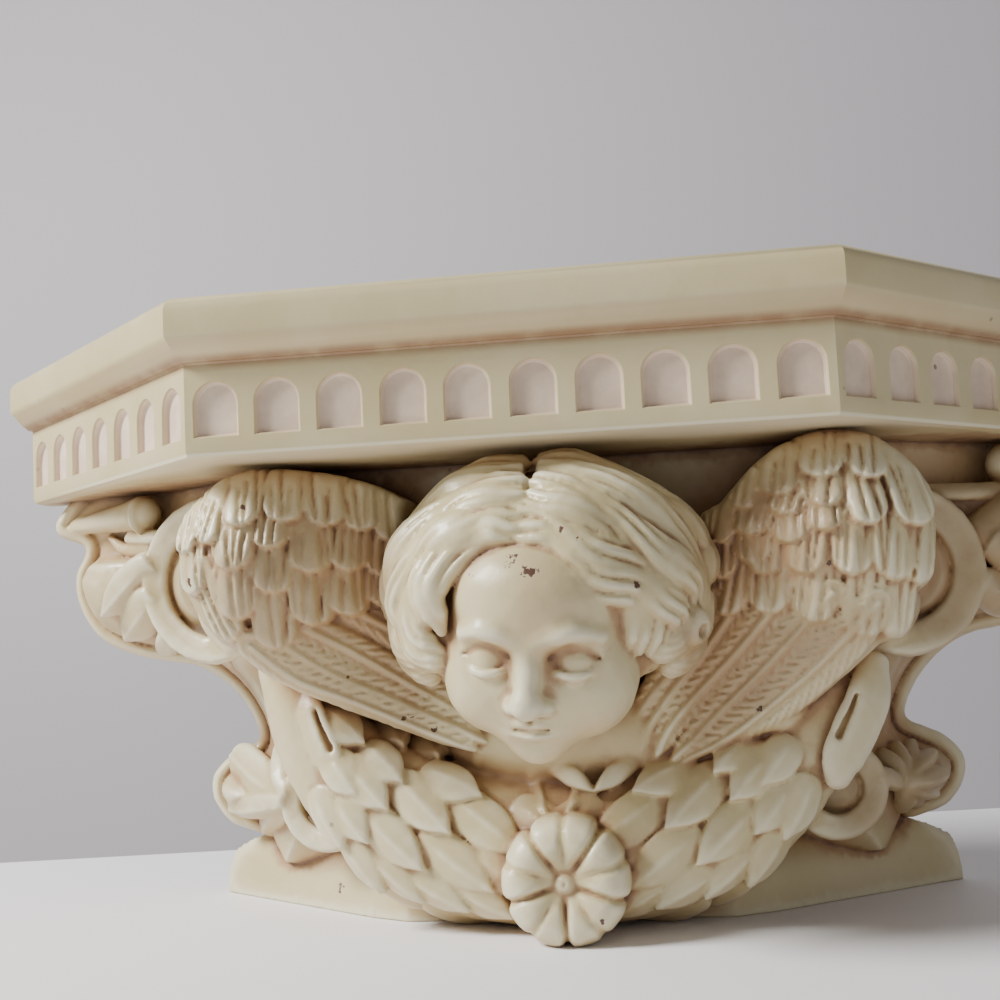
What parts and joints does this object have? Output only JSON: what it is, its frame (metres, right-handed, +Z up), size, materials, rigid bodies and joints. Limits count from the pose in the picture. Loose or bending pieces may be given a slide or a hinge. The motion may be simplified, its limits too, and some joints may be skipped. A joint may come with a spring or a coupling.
{
  "type": "angel figure corbel",
  "caption": "Cast wall bracket: a winged cherub's head, leaf festoon and rosette under a canted shelf with a niched frieze and scroll consoles.",
  "frame": {"origin": "on the flat back at the wall, on the shelf's centre line, level with the shelf's underside", "axes": "+X to the viewer's right along the wall, +Y into the wall, +Z up"},
  "size_m": [0.3014, 0.093, 0.1456],
  "materials": {
    "painted_plaster": "satin"
  },
  "bodies": {
    "root": {"angel_corbel": "painted_plaster"}
  },
  "joints": []
}
